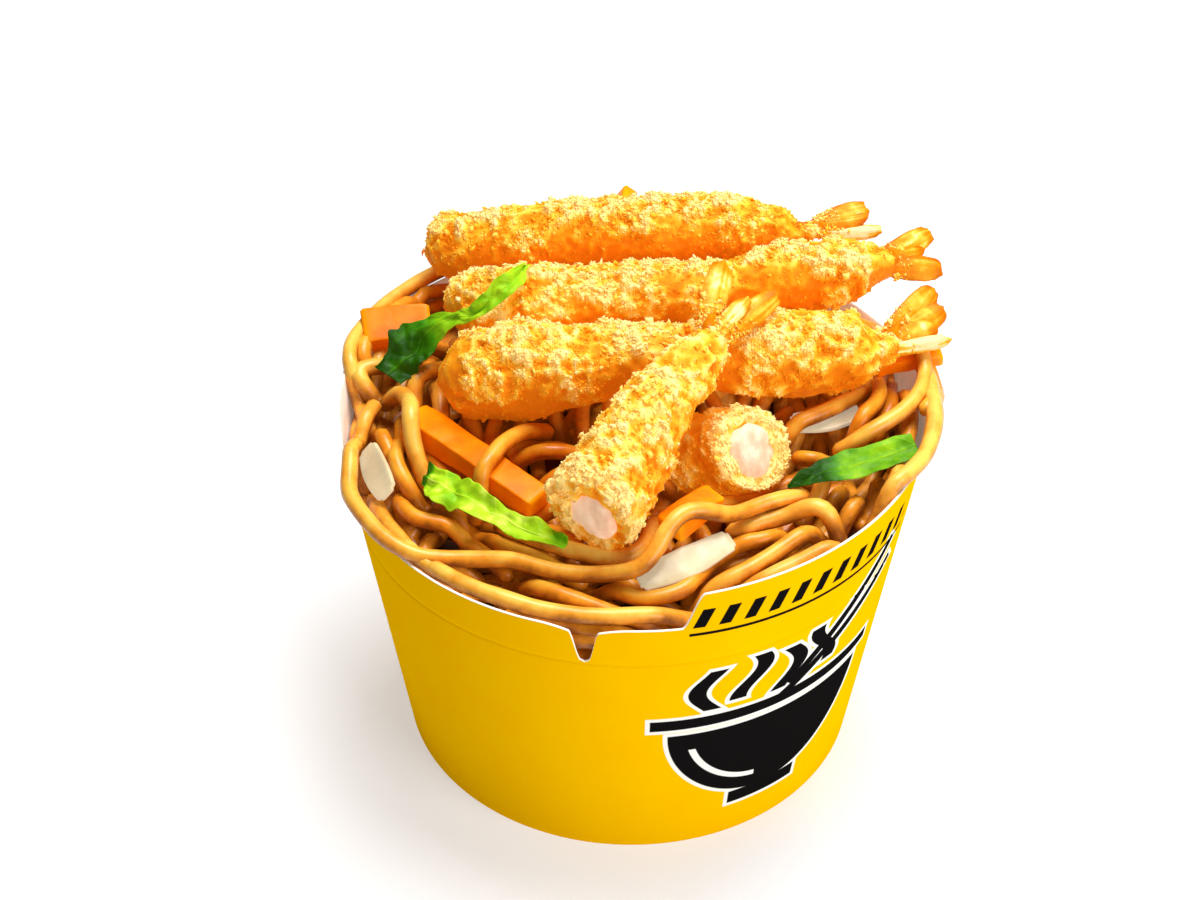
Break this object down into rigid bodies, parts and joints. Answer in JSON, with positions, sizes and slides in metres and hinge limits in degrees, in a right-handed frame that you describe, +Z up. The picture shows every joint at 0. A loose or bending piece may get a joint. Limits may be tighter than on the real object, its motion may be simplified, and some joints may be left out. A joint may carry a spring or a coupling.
{
  "type": "noodle takeaway box",
  "caption": "Round card takeaway tub heaped with stir-fried noodles, breaded tail-on prawns, carrot, leaf and onion, its top open and its curved flaps standing as tongues.",
  "frame": {"origin": "on the surface that the tub stands on, under the middle of the whole outline", "axes": "+Z up, -Y towards the front, where the flaps part at a slot, +X to the right, the side of the prawns' tails"},
  "size_m": [0.1576, 0.1456, 0.1295],
  "materials": {
    "card": "satin",
    "card_inside": "matte",
    "noodles": "satin",
    "crust": "matte",
    "shell": "gloss",
    "flesh": "satin",
    "carrot": "satin",
    "leaf": "satin",
    "onion": "gloss"
  },
  "bodies": {
    "root": {"carton_wall": "card", "carton_base": "card_inside", "noodles": "noodles", "prawn_1": "crust", "prawn_1_tail": "shell", "prawn_2": "crust", "prawn_2_tail": "shell", "prawn_3": "crust", "prawn_3_tail": "shell", "prawn_4": "crust", "prawn_4_meat": "flesh", "prawn_4_tail": "shell", "prawn_5": "crust", "prawn_5_meat": "flesh", "carrot_1": "carrot", "carrot_2": "carrot", "carrot_3": "carrot", "carrot_4": "carrot", "carrot_5": "carrot", "leaf_1": "leaf", "leaf_2": "leaf", "leaf_3": "leaf", "onion_1": "onion", "onion_2": "onion", "onion_3": "onion"}
  },
  "joints": []
}
